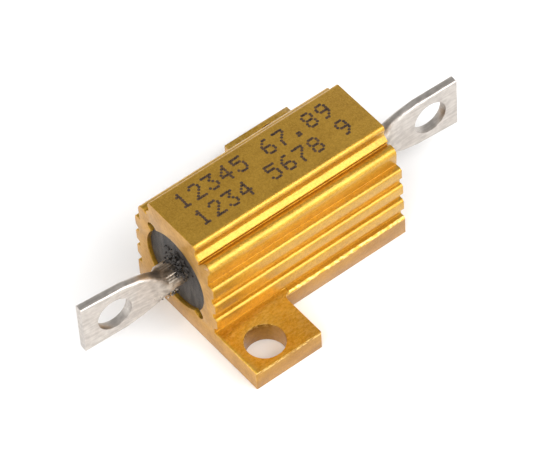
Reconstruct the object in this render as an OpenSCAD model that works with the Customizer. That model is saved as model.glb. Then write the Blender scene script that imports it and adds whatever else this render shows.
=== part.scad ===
// Aluminium housed wirewound power resistor, 10 watt size.
// A ribbed, gold anodised extrusion with two diagonal mounting feet holds a
// moulded-in wirewound element; its two leads are pressed flat into eyelets.
// X runs along the resistor, Z is up, and the origin is the middle of the base.

/* [Housing] */
// Length of the extruded body along X
body_length = 15.1; // [12:0.1:20]
// Height from the base to the top face
body_height = 8.8; // [8.6:0.1:9.4]
// Half width over the base flange
flange_half = 4.2; // [4.15:0.05:4.6]
// Half width of the flat top face
top_half = 2.15; // [1.8:0.05:2.3]
// Diameter of the bore that takes the moulded element
bore_d = 5.8; // [5:0.1:5.9]
// Height of the bore axis above the base
bore_z = 4.25; // [4.2:0.05:4.5]
// Width of the two keyways beside the bore
key_width = 0.85; // [0.5:0.05:1]
// Distance from the bore axis to the far end of a keyway
key_reach = 3.5; // [3.3:0.05:3.55]
// Direction of the keyways, from the +Y side upwards
key_angle = 45; // [42:1:50]

/* [Feet] */
// Thickness of a foot
foot_thick = 1.6; // [1.2:0.1:1.7]
// Length of a foot along X
foot_length = 5.2; // [4.4:0.1:6]
// Distance from the centre plane to the outer edge of a foot
foot_reach = 8.0; // [7.8:0.1:9]
// Diameter of the screw hole in each foot
foot_hole_d = 2.7; // [2:0.1:3]
// Spacing of the two screw holes along X
hole_spacing_x = 11.0; // [10.6:0.1:11.2]
// Spacing of the two screw holes along Y
hole_spacing_y = 12.6; // [12.2:0.1:12.8]

/* [Terminals] */
// Length over the two terminals
overall_length = 29.6; // [28:0.1:34]
// Diameter of the round lead wire
lead_d = 1.9; // [1.6:0.1:2]
// Thickness of the flattened blade at its tip
blade_thick = 0.62; // [0.4:0.02:0.7]
// Height of the blade at its tip
blade_height = 4.1; // [3.8:0.05:4.6]
// Diameter of the solder eyelet
eyelet_d = 2.5; // [1.8:0.05:2.6]
// Distance from the blade tip to the eyelet centre
eyelet_inset = 2.25; // [2.05:0.05:2.5]
// Angle by which the left blade is bent to the rear
left_bend = 3.4; // [0:0.2:6]
// Angle by which the right blade is bent to the front
right_bend = 2.7; // [0:0.1:6]

/* [Element] */
// Diameter of the ceramic core
core_d = 3.4; // [2.6:0.1:3.6]
// Length of the ceramic core
core_length = 10.4; // [9:0.2:10.8]
// Wall thickness of the pressed end caps
cap_wall = 0.3; // [0.2:0.05:0.4]
// Length of core covered by each end cap
cap_cover = 2.0; // [1.4:0.1:2.6]
// Diameter of the resistance wire
wire_d = 0.22; // [0.16:0.02:0.3]
// Number of turns of the winding
turns = 15; // [6:1:16]
// Depth of the moulding below each end face
moulding_recess = 0.3; // [0.1:0.05:0.6]

/* [Hidden] */
$fn = 64;

// The base flange is milled a touch thinner than the feet, with its upper edge broken
flange_top = foot_thick - 0.04;
flange_edge = 0.12;
// Each foot is rooted in the side of the body, and its round inner corner runs into the flange
foot_overlap = 0.5;
corner_overlap = 0.03;
// Half width of the body at the bottom of the side grooves
side_root = 3.78;
// Side ribs, flat on top: [tip half width, top, lower corner, foot of the underside at the root]
RIBS = [[4.14, 3.2, 2.27, 2.07],
        [4.1, 4.65, 3.75, 3.57],
        [4.03, 6.13, 5.2, 5.0]];
rib_radius = 0.22;
rib_edge = 0.05;
// Shoulder: its face leans in a little from the widest point to the notch above the uppermost rib
shoulder_half = 3.56;
shoulder_mid = 7.12;
shoulder_radius = 0.46;
shoulder_foot = [3.52, 6.24];
notch_root = 3.46;
// Ridge above the shoulder, with a sloping outer face and an undercut down to the deep groove
groove_floor = 7.38;
groove_half = 2.62;
ridge_edge = [2.7, 7.68];
ridge_low = 7.58;
// Narrow groove between the ridge and the rounded lip of the top face
lip_radius = 0.28;
lip_half = top_half + lip_radius;
lip_low = body_height - 0.38;
neck_root = lip_half - 0.07;
neck_top = lip_low - 0.12;
neck_foot = 7.97;

hole_x = hole_spacing_x / 2;
hole_y = hole_spacing_y / 2;
foot_inner_radius = 0.45;
// Cuts run this far past the faces they open
over = 1;

// Distances along X from the middle to the caps, the end of the round lead and the blade's tip
cap_end = core_length / 2 + cap_wall;
cap_rim = core_length / 2 - cap_cover;
lead_end = body_length / 2 + 1.1;
bend_x = body_length / 2 + 0.4;
blade_tip = overall_length / 2;
eyelet_x = blade_tip - eyelet_inset;
// Each blade leaves its lead a little off the centre line and has its eyelet a little off too
LEFT_STRAY = [0.24, -0.08];
RIGHT_STRAY = [-0.09, 0.1];
// Pressed stretch of the lead: [X beyond the round lead, half thickness, half height, edge radius]
slice_thick = 0.01;
PRESSED = [[0, lead_d / 2, lead_d / 2, lead_d / 2],
           [0.5, 0.54, 1.14, 0.45],
           [1.05, 0.42, 1.47, 0.34],
           [1.85, 0.36, 1.75, 0.26],
           [3, blade_thick / 2 + 0.02, blade_height / 2 - 0.1, 0.18],
           [blade_tip - lead_end, blade_thick / 2, blade_height / 2, 0.13]];

// The cavity round the winding stays just clear of the wire
winding_clearance = 0.03;
wire_sides = 6;
wire_steps = 20;

GOLD = "goldenrod";
TIN = "silver";

// Lays a (Y, Z) section along X, centred on the middle
module along_x(length) {
    translate([-length / 2, 0, 0]) rotate([90, 0, 90]) linear_extrude(length) children();
}

// Turns what is modelled on the +X half into the left half
module to_left() {
    rotate([0, 0, 180]) children();
}

// Rib with a flat top, a rounded upper edge and an undercut, from the centre plane to its tip
module rib(tip, top, low, foot) {
    polygon([[0, foot], [side_root, foot], [tip - rib_edge, low], [tip, low + rib_edge],
             [tip, top - rib_radius], [tip - rib_radius, top], [0, top]]);
    translate([tip - rib_radius, top - rib_radius]) circle(rib_radius);
}

// Right half of the extruded section, on the +Y side
module half_section() {
    top_rib = RIBS[2];
    polygon([[0, 0], [flange_half, 0], [flange_half, flange_top - flange_edge],
             [flange_half - flange_edge, flange_top], [side_root, flange_top], [side_root, top_rib[3]],
             [notch_root, top_rib[1]], shoulder_foot, [shoulder_half, shoulder_mid],
             [shoulder_half - shoulder_radius, groove_floor], [groove_half, groove_floor],
             [ridge_edge[0], ridge_low], ridge_edge, [neck_root, neck_foot], [neck_root, neck_top],
             [lip_half, lip_low], [lip_half, body_height - lip_radius], [top_half, body_height],
             [0, body_height]]);
    for (r = RIBS) rib(r[0], r[1], r[2], r[3]);
    translate([shoulder_half - shoulder_radius, shoulder_mid]) circle(shoulder_radius);
    translate([top_half, body_height - lip_radius]) circle(lip_radius);
}

module body_section() {
    for (side = [0, 1]) mirror([side, 0]) half_section();
}

// Bore with its two opposite keyways, seen along X
module bore_section(radius) {
    circle(radius);
    for (turn = [0, 180]) rotate(key_angle + turn) {
        translate([0, -key_width / 2]) square([key_reach - key_width / 2, key_width]);
        translate([key_reach - key_width / 2, 0]) circle(key_width / 2);
    }
}

// One foot at the right rear, with a round inner corner against the body
module foot() {
    inner_x = body_length / 2 - foot_length;
    corner_y = flange_half + foot_inner_radius - corner_overlap;
    difference() {
        translate([inner_x - foot_inner_radius, side_root - foot_overlap])
            cube([foot_length + foot_inner_radius, foot_reach - side_root + foot_overlap, foot_thick]);
        translate([inner_x - foot_inner_radius, corner_y, -over])
            cylinder(r = foot_inner_radius, h = foot_thick + 2 * over);
        translate([inner_x - foot_inner_radius - over, corner_y, -over])
            cube([foot_inner_radius + over, foot_reach, foot_thick + 2 * over]);
    }
}

module housing() {
    color(GOLD) difference() {
        union() {
            along_x(body_length) body_section();
            foot();
            to_left() foot();
        }
        translate([0, 0, bore_z]) along_x(body_length + 2 * over) bore_section(bore_d / 2);
        for (turn = [0, 180]) rotate(turn)
            translate([hole_x, hole_y, -over]) cylinder(d = foot_hole_d, h = foot_thick + 2 * over);
    }
}

// Space inside the moulding that the core, winding, caps and leads take up
module element_cavity() {
    winding_r = core_d / 2 / cos(180 / wire_steps) + wire_d + winding_clearance;
    cap_r = core_d / 2 + cap_wall;
    translate([0, 0, bore_z]) rotate([0, 90, 0]) {
        translate([0, 0, -cap_rim]) cylinder(r = winding_r, h = 2 * cap_rim);
        for (side = [0, 1]) mirror([0, 0, side]) {
            translate([0, 0, cap_rim]) cylinder(r = cap_r, h = cap_end - cap_rim);
            translate([0, 0, cap_end]) cylinder(d = lead_d, h = body_length);
        }
    }
}

module moulding() {
    color("dimgray") difference() {
        translate([0, 0, bore_z]) along_x(body_length - 2 * moulding_recess) bore_section(bore_d / 2);
        element_cavity();
    }
}

module ceramic_core() {
    color("ivory") translate([-core_length / 2, 0, bore_z]) rotate([0, 90, 0])
        cylinder(d = core_d, h = core_length);
}

// Helical winding, swept as one closed tube of wire_sides sides
module resistance_wire() {
    coil_r = core_d / 2 / cos(180 / wire_steps) + wire_d / 2;
    travel = 2 * (cap_rim - wire_d / 2 * cos(30));
    rings = turns * wire_steps;
    points = [for (i = [0 : rings], k = [0 : wire_sides - 1])
        let (angle = 360 * i / wire_steps, around = 360 * k / wire_sides,
             r = coil_r + wire_d / 2 * cos(around))
        [travel * (i / rings - 0.5) + wire_d / 2 * sin(around), r * cos(angle), r * sin(angle)]];
    side_faces = [for (i = [0 : rings - 1], k = [0 : wire_sides - 1])
        let (a = i * wire_sides + k, b = i * wire_sides + (k + 1) % wire_sides)
        [a, b, b + wire_sides, a + wire_sides]];
    start_face = [for (k = [wire_sides - 1 : -1 : 0]) k];
    end_face = [for (k = [0 : wire_sides - 1]) rings * wire_sides + k];
    color("darkgray") translate([0, 0, bore_z])
        polyhedron(points, concat([start_face, end_face], side_faces), convexity = 10);
}

// Pressed metal cup over one end of the core
module end_cap_right() {
    color("lightsteelblue") translate([0, 0, bore_z]) rotate([0, 90, 0]) difference() {
        translate([0, 0, cap_rim]) cylinder(r = core_d / 2 + cap_wall, h = cap_end - cap_rim);
        translate([0, 0, cap_rim - over]) cylinder(d = core_d, h = cap_cover + over);
    }
}

module end_cap_left() {
    to_left() end_cap_right();
}

// Round end of the lead, butted on the cap and leaving through the moulding
module lead_wire() {
    translate([cap_end, 0, 0]) rotate([0, 90, 0]) cylinder(d = lead_d, h = lead_end - cap_end);
}

// Thin slice of the pressed lead: four rounded edges round its centre line
module pressed_slice(slice) {
    for (y = [-1, 1], z = [-1, 1])
        translate([lead_end + slice[0] - slice_thick, y * (slice[1] - slice[3]), z * (slice[2] - slice[3])])
            rotate([0, 90, 0]) cylinder(r = slice[3], h = slice_thick, $fn = 32);
}

// Lays the pressed stretch at its angle to the round lead
module bent(stray, bend) {
    translate([bend_x, stray[0], 0]) rotate(-bend) translate([-bend_x, 0, 0]) children();
}

// Lead pressed flat beyond its round part, with the eyelet punched through the blade
module blade(stray, bend) {
    difference() {
        union() {
            hull() {
                pressed_slice(PRESSED[0]);
                bent(stray, bend) pressed_slice(PRESSED[1]);
            }
            bent(stray, bend) for (i = [1 : len(PRESSED) - 2]) hull() {
                pressed_slice(PRESSED[i]);
                pressed_slice(PRESSED[i + 1]);
            }
        }
        bent(stray, bend) translate([eyelet_x + stray[1], blade_thick, 0]) rotate([90, 0, 0])
            cylinder(d = eyelet_d, h = 2 * blade_thick);
    }
}

module terminal(stray, bend) {
    color(TIN) translate([0, 0, bore_z]) {
        lead_wire();
        blade(stray, bend);
    }
}

module terminal_right() {
    terminal(RIGHT_STRAY, right_bend);
}

module terminal_left() {
    to_left() terminal(LEFT_STRAY, left_bend);
}

housing();
moulding();
ceramic_core();
resistance_wire();
end_cap_left();
end_cap_right();
terminal_left();
terminal_right();
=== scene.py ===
import math
import random

import bpy
from mathutils import Matrix, Vector


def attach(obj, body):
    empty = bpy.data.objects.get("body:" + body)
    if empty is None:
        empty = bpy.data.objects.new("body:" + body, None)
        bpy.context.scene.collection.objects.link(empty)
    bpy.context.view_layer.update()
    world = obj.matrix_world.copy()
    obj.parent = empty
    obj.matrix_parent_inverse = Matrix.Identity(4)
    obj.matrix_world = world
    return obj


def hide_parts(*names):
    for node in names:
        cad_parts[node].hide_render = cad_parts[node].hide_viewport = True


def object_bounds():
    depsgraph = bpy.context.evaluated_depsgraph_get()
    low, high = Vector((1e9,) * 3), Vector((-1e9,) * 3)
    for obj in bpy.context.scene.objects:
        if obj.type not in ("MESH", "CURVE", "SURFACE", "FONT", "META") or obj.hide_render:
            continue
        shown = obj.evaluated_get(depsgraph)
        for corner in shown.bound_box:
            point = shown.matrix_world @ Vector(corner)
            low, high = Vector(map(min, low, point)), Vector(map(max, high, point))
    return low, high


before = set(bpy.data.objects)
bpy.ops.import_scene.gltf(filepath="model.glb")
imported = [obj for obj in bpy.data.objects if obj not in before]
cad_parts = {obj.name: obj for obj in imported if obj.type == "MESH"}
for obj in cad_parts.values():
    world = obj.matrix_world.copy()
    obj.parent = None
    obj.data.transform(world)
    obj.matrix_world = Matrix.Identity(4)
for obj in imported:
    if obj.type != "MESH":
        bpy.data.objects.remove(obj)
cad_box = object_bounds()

MM = 0.001
scene = bpy.context.scene


# The bench: a plain white sheet under the resistor, far wider than the part, with a bright soft tent round
# it. The sheet and the low walls shine into the upright faces; the roof over the far side is dimmer, so
# that the flat top of the housing reads darker than its sides.
FLOOR_DROP = 0.02 * MM
SHEET_RADIUS, SHEET_SIDES = 1.2, 96
bpy.ops.object.select_all(action="DESELECT")
bpy.ops.mesh.primitive_circle_add(vertices=SHEET_SIDES, radius=SHEET_RADIUS, fill_type="NGON",
                                  location=(0, 0, -FLOOR_DROP))
floor = bpy.context.object
floor.name = "floor_sheet"
bpy.ops.object.transform_apply(location=True)


class Value:
    """A number or a vector on its way through one material; an expression on values adds its Math nodes."""

    def __init__(self, tree, socket):
        self.tree, self.socket = tree, socket

    def node(self, kind, settings, inputs, output=0):
        """Adds a node: its settings or ramp stops first, then the values or links of its sockets."""
        made = self.tree.nodes.new(kind)
        for name, setting in settings.items():
            if name == "stops":
                stops = made.color_ramp.elements
                while len(stops) < len(setting):
                    stops.new(1)
                for stop, (place, colour) in zip(stops, setting):
                    stop.position, stop.color = place, colour
            else:
                setattr(made, name, setting)
        for name, value in inputs.items():
            if isinstance(value, Value):
                self.tree.links.new(value.socket, made.inputs[name])
            else:
                made.inputs[name].default_value = value
        return Value(self.tree, made.outputs[output])

    def math(self, operation, *terms):
        return self.node("ShaderNodeMath", {"operation": operation}, dict(enumerate(terms)))

    def __add__(self, other):
        return self.math("ADD", self, other)

    def __mul__(self, other):
        return self.math("MULTIPLY", self, other)

    __radd__, __rmul__ = __add__, __mul__

    def between(self, low, high):
        """0 below low, 1 above high, and a smooth rise between them; high may be the smaller."""
        return self.node("ShaderNodeMapRange", {"interpolation_type": "SMOOTHSTEP"},
                         {"Value": self, "From Min": low, "From Max": high})

    def mixed(self, first, second):
        """The colour first where this is 0 and second where it is 1."""
        return self.node("ShaderNodeMix", {"data_type": "RGBA"}, {0: self, 6: first, 7: second}, 2)

    def noise(self, stretch, scale, detail=2.0, seed=(0, 0, 0)):
        """Noise on this position in millimetres, stretched along the axes; 0 to 1, mostly near 0.5."""
        place = self.node("ShaderNodeMapping", {}, {"Vector": self, "Location": seed, "Scale": stretch})
        return self.node("ShaderNodeTexNoise", {}, {"Vector": place, "Scale": scale, "Detail": detail})


def finish_named(name):
    """An empty material: its Principled shader's sockets, the position in millimetres and the normal."""
    material = bpy.data.materials.new(name)
    material.use_nodes = True
    tree = material.node_tree
    shader = tree.nodes["Principled BSDF"]
    coords = tree.nodes.new("ShaderNodeTexCoord")
    metres = Value(tree, coords.outputs["Object"])
    place = metres.node("ShaderNodeVectorMath", {"operation": "SCALE"}, {0: metres, "Scale": 1 / MM})
    normal = Value(tree, coords.outputs["Normal"])
    return material, shader, place, normal


def feed(shader, inputs):
    """Sets the Principled shader's sockets from values or numbers."""
    for name, value in inputs.items():
        if isinstance(value, Value):
            value.tree.links.new(value.socket, shader.inputs[name])
        else:
            shader.inputs[name].default_value = value


def bump(height, distance):
    """The normal that a surface gets from a height of 0 to 1 over a distance in millimetres."""
    return height.node("ShaderNodeBump", {}, {"Height": height, "Distance": distance * MM, "Strength": 1.0})


sheet_white, shader, place, _ = finish_named("matt_white_sheet")
paper = place.noise((1, 1, 1), 0.02).mixed((0.90, 0.90, 0.90, 1), (0.93, 0.93, 0.93, 1))
feed(shader, {"Base Color": paper, "Roughness": 0.95, "Specular IOR Level": 0.1})
floor.data.materials.append(sheet_white)

# Tent: brightness by height of the direction looked in
world = bpy.data.worlds.new("soft_tent")
scene.world = world
world.use_nodes = True
tree = world.node_tree
direction = Value(tree, tree.nodes.new("ShaderNodeTexCoord").outputs["Generated"])
height = direction.node("ShaderNodeSeparateXYZ", {}, {0: direction}, 2)
glow = height.node("ShaderNodeValToRGB", {"stops": [
    (0.0, (1.15, 1.15, 1.15, 1)), (0.25, (1.0, 1.0, 1.0, 1)), (0.60, (0.44, 0.44, 0.44, 1)),
    (0.85, (0.43, 0.43, 0.43, 1)), (1.0, (0.55, 0.55, 0.55, 1))]}, {0: height})
tree.links.new(glow.socket, tree.nodes["Background"].inputs["Color"])
tree.nodes["Background"].inputs["Strength"].default_value = 1.0

# Softboxes: azimuth of where each hangs, elevation, distance, side, power; azimuth 0 is in front (-Y)
for number, (azimuth, elevation, distance, side, power) in enumerate([
        (32, 38, 0.9, 0.8, 8.5), (-70, 42, 0.9, 0.8, 6.4)]):
    bpy.ops.object.light_add(type="AREA")
    lamp = bpy.context.object
    lamp.name = f"softbox_{number}"
    lamp.data.size = side
    lamp.data.energy = power
    a, e = math.radians(azimuth), math.radians(elevation)
    towards = Vector((math.sin(a) * math.cos(e), -math.cos(a) * math.cos(e), math.sin(e)))
    lamp.location = towards * distance
    lamp.rotation_euler = towards.to_track_quat("Z", "Y").to_euler()

# Camera: a long lens from the front left, looking down at 51 degrees, tilted a little
CAMERA_AZIMUTH, CAMERA_ELEVATION, CAMERA_TILT = -0.60882, 0.88477, -0.07486
CAMERA_DISTANCE, CAMERA_RIGHT, CAMERA_UP = 266.108 * MM, -0.19562 * MM, 1.76559 * MM
CAMERA_LENS, CAMERA_SENSOR, CAMERA_NEAREST, CAMERA_FARTHEST = 277.16, 36, 0.01, 10
bpy.ops.object.camera_add()
camera = bpy.context.object
a, e, tilt = CAMERA_AZIMUTH, CAMERA_ELEVATION, CAMERA_TILT
back = Vector((math.sin(a) * math.cos(e), -math.cos(a) * math.cos(e), math.sin(e)))
flat_right = Vector((math.cos(a), math.sin(a), 0))
upright = back.cross(flat_right)
right = flat_right * math.cos(tilt) + upright * math.sin(tilt)
up = upright * math.cos(tilt) - flat_right * math.sin(tilt)
spot = back * CAMERA_DISTANCE + right * CAMERA_RIGHT + up * CAMERA_UP
camera.matrix_world = Matrix.Translation(spot) @ Matrix((right, up, back)).transposed().to_4x4()
camera.data.lens = CAMERA_LENS
camera.data.sensor_width = CAMERA_SENSOR
camera.data.clip_start = CAMERA_NEAREST
camera.data.clip_end = CAMERA_FARTHEST
scene.camera = camera
scene.view_settings.view_transform = "Standard"


# The housing: an aluminium extrusion with ribbed flanks, cut to length and milled away beside its two feet,
# then dyed gold. The cut ends are paler and duller than the skin of the extrusion, and one corner is worn.
MERGE_WITHIN, FLAT_WITHIN = 0.002, 1  # millimetres, degrees


def copy_of(node, name):
    """A new piece with its own merged copy of a CAD node's mesh, selected and active."""
    bpy.ops.object.select_all(action="DESELECT")
    piece = bpy.data.objects.new(name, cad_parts[node].data.copy())
    scene.collection.objects.link(piece)
    piece.data.materials.clear()
    piece.select_set(True)
    bpy.context.view_layer.objects.active = piece
    bpy.ops.object.mode_set(mode="EDIT")
    bpy.ops.mesh.select_all(action="SELECT")
    bpy.ops.mesh.customdata_custom_splitnormals_clear()
    bpy.ops.mesh.remove_doubles(threshold=MERGE_WITHIN * MM)
    bpy.ops.mesh.dissolve_limited(angle_limit=math.radians(FLAT_WITHIN))
    bpy.ops.object.mode_set(mode="OBJECT")
    return piece


housing = copy_of("housing", "ribbed_housing")

# The worn corner: the end of the front shoulder is set back. Of the cuts round the housing, the first two
# only split its long faces and leave its shape as it is; the last bounds the worn end.
FACE_CUTS, WEAR_CUT, WEAR_DEPTH = (-2.49, -2.31), -7.3, 0.24
WEAR_FRONT, WEAR_BACK, WEAR_LOW, WEAR_HIGH = -3.6, -2.9, 7.1, 7.6
LEFT_END = -7.54
bpy.ops.object.mode_set(mode="EDIT")
for cut in (*FACE_CUTS, WEAR_CUT):
    bpy.ops.mesh.select_all(action="SELECT")
    bpy.ops.mesh.bisect(plane_co=(cut * MM, 0, 0), plane_no=(1, 0, 0))
bpy.ops.object.mode_set(mode="OBJECT")
for vertex in housing.data.vertices:
    x, y, z = vertex.co / MM
    if x < LEFT_END and WEAR_FRONT < y < WEAR_BACK and WEAR_LOW < z < WEAR_HIGH:
        vertex.co += Vector((WEAR_DEPTH, 0, 0)) * MM

# Sawn and drawn edges are barely broken
EDGE_ROUNDING, EDGE_FROM, SMOOTH_TO = 0.05, 30, 40
rounding = housing.modifiers.new("rounded_edges", "BEVEL")
rounding.width = EDGE_ROUNDING * MM
rounding.segments = 2
rounding.limit_method = "ANGLE"
rounding.angle_limit = math.radians(EDGE_FROM)
rounding.use_clamp_overlap = False
bpy.ops.object.modifier_apply(modifier=rounding.name)
bpy.ops.object.shade_smooth_by_angle(angle=math.radians(SMOOTH_TO))

gold, shader, place, normal = finish_named("gold_anodise")
across = normal.node("ShaderNodeSeparateXYZ", {}, {0: normal}, 0)
upwards = normal.node("ShaderNodeSeparateXYZ", {}, {0: normal}, 2)
sideways = place.node("ShaderNodeSeparateXYZ", {}, {0: place}, 1)
level = place.node("ShaderNodeSeparateXYZ", {}, {0: place}, 2)
cut_end = across.math("ABSOLUTE", across).between(0.75, 0.95)
drawn = place.noise((0.10, 1, 1), 8.0, 3.0)
grain = place.noise((1, 1, 1), 11.0, 4.0)
speckle = place.noise((1, 1, 1), 5.0, 3.0, (7, 3, 1))
cloud = place.noise((0.6, 1, 1), 0.9, 2.0)
skin = (grain.between(0.32, 0.68) * 0.45 + speckle.between(0.35, 0.65) * 0.3
        + cloud.between(0.35, 0.65) * 0.25)
skin_colour = skin.mixed((0.44, 0.232, 0.020, 1), (0.66, 0.385, 0.050, 1))
end_tone = cloud.between(0.3, 0.7) * 0.6 + speckle.between(0.3, 0.7) * 0.4
end_colour = end_tone.mixed((0.45, 0.235, 0.046, 1), (0.63, 0.36, 0.090, 1))

# The upright sides of the flange and feet are duller and darker: partly their milled finish, partly painted
# shade. A broken painted highlight runs below their upper edge.
UNDER_FLANGE_TOP, PAST_RIBS, HIGHLIGHT_LINE_BAND = (1.62, 1.56), (4.02, 4.06), (1.30, 1.42)
milled = level.between(*UNDER_FLANGE_TOP) * sideways.math("ABSOLUTE", sideways).between(*PAST_RIBS)
# darker colour on the upright lower sides: milled finish together with painted shade
milled_side_and_shade = milled * upwards.between(0.5, 0.3)
milled_and_shaded_colour = end_tone.mixed((0.34, 0.155, 0.012, 1), (0.50, 0.26, 0.030, 1))
breaks = place.noise((0.5, 1, 1), 6.0, 3.0, (2, 5, 9)).between(0.45, 0.6)
# painted highlight: a broken bright line along the lower sides, just below their upper edge
painted_highlight_line = milled * level.between(*HIGHLIGHT_LINE_BAND) * breaks
colour = milled_side_and_shade.mixed(skin_colour, milled_and_shaded_colour)
colour = painted_highlight_line.mixed(colour, (0.82, 0.56, 0.16, 1))

# Paler metal shows where the corner of the shoulder is worn
WORN_CENTRE = (-7.5, -3.3, 7.4)
from_worn = place.node("ShaderNodeVectorMath", {"operation": "DISTANCE"}, {0: place, 1: WORN_CENTRE}, 1)
bare = (from_worn + grain * 0.2).between(0.32, 0.2)
colour = bare.mixed(cut_end.mixed(colour, end_colour), (0.72, 0.52, 0.40, 1))
feed(shader, {"Base Color": colour, "Metallic": 1.0, "Coat Weight": 0.45,
              "Roughness": 0.40 + 0.10 * grain + 0.10 * cut_end,
              "Normal": bump(grain * 0.6 + drawn * 0.25 + speckle * 0.3, 0.03)})
housing.data.materials.append(gold)
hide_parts("housing")
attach(housing, "root")


# The marking: two rows of plain counting digits in dark ink, stamped on the top face by a row of pins, so
# that each digit is built from small dots that run into one another.
DIGITS = {  # seven rows of five pins, from the top of the digit down
    "1": "00100011000010000100001000010001110", "2": "01110100010000100010001000100011111",
    "3": "11111000100010000010000011000101110", "4": "00010001100101010010111110001000010",
    "5": "11111100001111000001000011000101110", "6": "00110010001000011110100011000101110",
    "7": "11111000010001000100010000100001000", "8": "01110100011000101110100011000101110",
    "9": "01110100011000101111000010001001100", ".": "00000000000000000000000000110001100"}
PIN_COLUMNS, PIN_ROWS = 5, 7
DOT_STEP_X, DOT_STEP_Y, DOT_RADIUS, INK_FILM = 0.16, 0.19, 0.11, 0.006
CELL_STEP, DOT_SIDES, DOT_WOBBLE = 1.12, 8, 0.015
ROWS = [("12345 67.89", -6.1, 0.52), ("1234 5678 9", -5.95, -1.33)]
wobble = random.Random(4)
dots = []
for text, row_x, row_y in ROWS:
    for cell, character in enumerate(text):
        for pin, mark in enumerate(DIGITS.get(character, "")):
            if mark == "1":
                column, line = pin % PIN_COLUMNS, pin // PIN_COLUMNS
                dot_x = row_x + cell * CELL_STEP + column * DOT_STEP_X
                dot_y = row_y + (PIN_ROWS - 1 - line) * DOT_STEP_Y
                dots.append((dot_x + wobble.uniform(-DOT_WOBBLE, DOT_WOBBLE),
                             dot_y + wobble.uniform(-DOT_WOBBLE, DOT_WOBBLE)))
top_z = cad_box[1][2] / MM
bpy.ops.object.select_all(action="DESELECT")
bpy.ops.mesh.primitive_circle_add(vertices=DOT_SIDES, radius=DOT_RADIUS * MM, fill_type="NGON",
                                  location=(dots[0][0] * MM, dots[0][1] * MM, top_z * MM))
ink = bpy.context.object
ink.name = "ink_digits"
bpy.ops.object.transform_apply(location=True)
bpy.ops.object.mode_set(mode="EDIT")
for x, y in dots[1:]:
    bpy.ops.mesh.primitive_circle_add(vertices=DOT_SIDES, radius=DOT_RADIUS * MM, fill_type="NGON",
                                      location=(x * MM, y * MM, top_z * MM))
bpy.ops.mesh.select_all(action="SELECT")
bpy.ops.mesh.extrude_region_move(TRANSFORM_OT_translate={"value": (0, 0, INK_FILM * MM)})
bpy.ops.mesh.select_all(action="SELECT")
bpy.ops.mesh.normals_make_consistent(inside=False)
bpy.ops.object.mode_set(mode="OBJECT")
dark_ink, shader, place, _ = finish_named("dark_ink")
patchy = place.noise((1, 1, 1), 7.0, 3.0)
ink_colour = patchy.between(0.3, 0.7).mixed((0.020, 0.010, 0.005, 1), (0.075, 0.036, 0.010, 1))
feed(shader, {"Base Color": ink_colour, "Roughness": 0.55 + 0.2 * patchy})
ink.data.materials.append(dark_ink)
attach(ink, "root")


# The moulding: charcoal compound pressed into the bore round the element, a little below each end face of
# the housing. It keeps its built shape; faint upright flow streaks, dust and pores mark its ends. The
# lighter tone along the streaks is a painted sheen; the lighter dust is its own colour.
moulding = copy_of("moulding", "black_moulding")
MOULDING_SMOOTH_TO = 50
bpy.ops.object.shade_smooth_by_angle(angle=math.radians(MOULDING_SMOOTH_TO))
black, shader, place, _ = finish_named("black_moulding")
flow = place.noise((1, 0.9, 0.22), 3.2, 3.0)
pores = place.noise((1, 1, 1), 12.0, 3.0)
dusty = place.noise((1, 1, 1), 1.6, 4.0, (4, 4, 4))
# lighter tone: painted sheen along the upright streaks, plus lighter dust
tone = flow.between(0.35, 0.7) * 0.6 + dusty.between(0.45, 0.75) * 0.4
feed(shader, {"Base Color": tone.mixed((0.016, 0.013, 0.011, 1), (0.070, 0.058, 0.050, 1)),
              "Roughness": 0.42 + 0.25 * pores,
              "Normal": bump(flow * 0.8 + pores * 0.25 + dusty * 0.5, 0.12)})
moulding.data.materials.append(black)
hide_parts("moulding")
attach(moulding, "root")


# The terminals: tinned copper leads pressed flat beyond the moulding, with a punched solder eyelet. The
# rolled faces keep fine lengthwise marks. Near the moulding the tin is painted darker and browner: partly a
# brownish tint, partly a painted dark reflection.
tin, shader, place, _ = finish_named("tinned_lead")
rolled = place.noise((0.12, 1, 1), 6.0, 3.0)
dull = place.noise((1, 1, 1), 2.4, 3.0)
pitted = place.noise((1, 1, 1), 9.0, 3.0, (3, 8, 2))
along = place.node("ShaderNodeSeparateXYZ", {}, {0: place}, 0)
CLEAN_FROM, DARKEST_TO = 10.2, 8.2  # distances from the middle of the resistor
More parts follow.
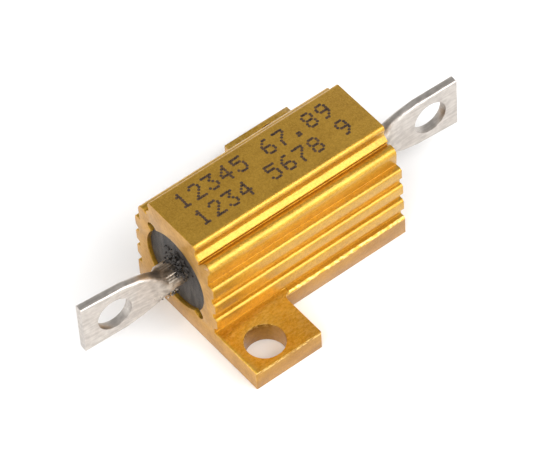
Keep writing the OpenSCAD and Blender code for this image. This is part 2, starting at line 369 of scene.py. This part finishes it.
# near the moulding: brownish tint together with a painted dark reflection, strongest nearest the moulding
stain_and_dark_reflection = along.math("ABSOLUTE", along).between(CLEAN_FROM, DARKEST_TO)
clean = (dull.between(0.3, 0.7) * 0.5 + rolled.between(0.35, 0.65) * 0.5).mixed(
    (0.44, 0.40, 0.365, 1), (0.63, 0.585, 0.54, 1))
stain_and_reflection_colour = dull.between(0.35, 0.65).mixed((0.16, 0.125, 0.085, 1), (0.48, 0.41, 0.33, 1))
feed(shader, {"Base Color": (stain_and_dark_reflection * 0.75).mixed(clean, stain_and_reflection_colour), "Metallic": 1.0,
              "Roughness": 0.30 + 0.18 * dull,
              "Normal": bump(rolled * 0.6 + pitted * 0.3, 0.02)})
BLADE_FROM = 10.3  # where the pressed blade has its full width
BLADE_EDGE, BLADE_EDGE_FROM = 0.06, 60
for side in ("left", "right"):
    terminal = copy_of(f"terminal_{side}", f"pressed_terminal_{side}")
    bpy.ops.object.mode_set(mode="EDIT")
    bpy.ops.mesh.select_mode(type="EDGE")
    bpy.ops.mesh.select_all(action="DESELECT")
    bpy.ops.mesh.edges_select_sharp(sharpness=math.radians(BLADE_EDGE_FROM))
    bpy.ops.object.mode_set(mode="OBJECT")
    for edge in terminal.data.edges:
        if min(abs(terminal.data.vertices[end].co.x) for end in edge.vertices) < BLADE_FROM * MM:
            edge.select = False
    bpy.ops.object.mode_set(mode="EDIT")
    bpy.ops.mesh.bevel(offset=BLADE_EDGE * MM, segments=2, affect="EDGES", clamp_overlap=True)
    bpy.ops.mesh.select_mode(type="VERT")
    bpy.ops.object.mode_set(mode="OBJECT")
    bpy.ops.object.shade_smooth_by_angle(angle=math.radians(SMOOTH_TO))
    terminal.data.materials.append(tin)
    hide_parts(f"terminal_{side}")
    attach(terminal, "root")


# The crumbs: broken compound left piled round the left lead where it leaves the moulding, black against the
# moulding and mixed with flakes of tin further out on the pressed stretch.
CHIP_JITTER = 0.035


def crumbs(name, places, material, seed):
    """One piece of angular chips: places are (x, y, z, size) in millimetres."""
    chance = random.Random(seed)
    bpy.ops.object.select_all(action="DESELECT")
    bpy.ops.mesh.primitive_ico_sphere_add(subdivisions=1, radius=places[0][3] * MM,
                                          location=[value * MM for value in places[0][:3]])
    piece = bpy.context.object
    piece.name = name
    bpy.ops.object.transform_apply(location=True)
    bpy.ops.object.mode_set(mode="EDIT")
    for x, y, z, size in places[1:]:
        bpy.ops.mesh.primitive_ico_sphere_add(subdivisions=1, radius=size * MM,
                                              location=(x * MM, y * MM, z * MM))
    bpy.ops.object.mode_set(mode="OBJECT")
    for vertex in piece.data.vertices:
        vertex.co += Vector([chance.uniform(-CHIP_JITTER, CHIP_JITTER) for _ in range(3)]) * MM
    piece.data.materials.append(material)
    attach(piece, "root")


BORE_Z, MOULDING_FACE = 4.25, -7.22
PILE_CHIPS, CHIP_SMALLEST, CHIP_LARGEST = 110, 0.05, 0.13
LEAD_REACH, PILE_SPREAD, PILE_THICKNESS = 0.92, 0.75, 0.95
chance = random.Random(11)
pile = []
for _ in range(PILE_CHIPS):
    turn = math.radians(chance.triangular(5, 150, 60))
    out = chance.random() ** 1.5
    reach = LEAD_REACH + PILE_SPREAD * out
    x = MOULDING_FACE - (1 - out) * chance.uniform(0.0, PILE_THICKNESS)
    pile.append((x, -math.cos(turn) * reach, BORE_Z + math.sin(turn) * reach,
                 chance.uniform(CHIP_SMALLEST, CHIP_LARGEST)))
crumbs("moulding_crumbs_left", pile, black, 1)

# The flakes lie on the front of the lead, which narrows in depth and widens in height as it is pressed flat
FLAKES, FLAKE_SMALLEST, FLAKE_LARGEST = 90, 0.035, 0.085
FLAKES_FROM, FLAKES_LENGTH = 8.0, 1.7
flakes = []
for _ in range(FLAKES):
    x = chance.uniform(-9.7, -8.0)
    flatness = (-x - FLAKES_FROM) / FLAKES_LENGTH
    z = BORE_Z + chance.uniform(-1.25, 0.05) * (0.75 + 0.3 * flatness)
    y = -(0.90 - 0.38 * flatness) + 0.25 * max(0, BORE_Z - 0.7 - z)
    flakes.append((x, y, z, chance.uniform(FLAKE_SMALLEST, FLAKE_LARGEST)))
crumbs("tin_flakes_left", flakes[::2], tin, 2)
crumbs("stem_crumbs_left", flakes[1::2], black, 3)


# The element inside: a ceramic core wound with resistance wire, with a pressed metal cap on each end. None
# of it shows from outside; it keeps its built shape and gets the finish of the real thing.
def finish_inside(slot, dark, light, metallic, roughness, scale):
    """A finely speckled material for a sealed piece, named after its slot."""
    material, shader, place, _ = finish_named(slot)
    fine = place.noise((1, 1, 1), scale, 3.0)
    feed(shader, {"Base Color": fine.between(0.3, 0.7).mixed(dark, light), "Metallic": metallic,
                  "Roughness": roughness + 0.1 * fine, "Normal": bump(fine, 0.01)})
    return material


INSIDE = [  # slot, nodes, darker and lighter tone, metallic, roughness, grain scale
    ("white_ceramic", ["ceramic_core"],
     (0.72, 0.70, 0.64, 1), (0.84, 0.82, 0.77, 1), 0.0, 0.55, 6.0),
    ("resistance_alloy", ["resistance_wire"],
     (0.30, 0.27, 0.24, 1), (0.46, 0.42, 0.38, 1), 1.0, 0.35, 12.0),
    ("plated_cap", ["end_cap_left", "end_cap_right"],
     (0.52, 0.52, 0.50, 1), (0.68, 0.68, 0.66, 1), 1.0, 0.3, 8.0)]
for slot, nodes, dark, light, metallic, roughness, scale in INSIDE:
    material = finish_inside(slot, dark, light, metallic, roughness, scale)
    for node in nodes:
        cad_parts[node].data.materials.clear()
        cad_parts[node].data.materials.append(material)
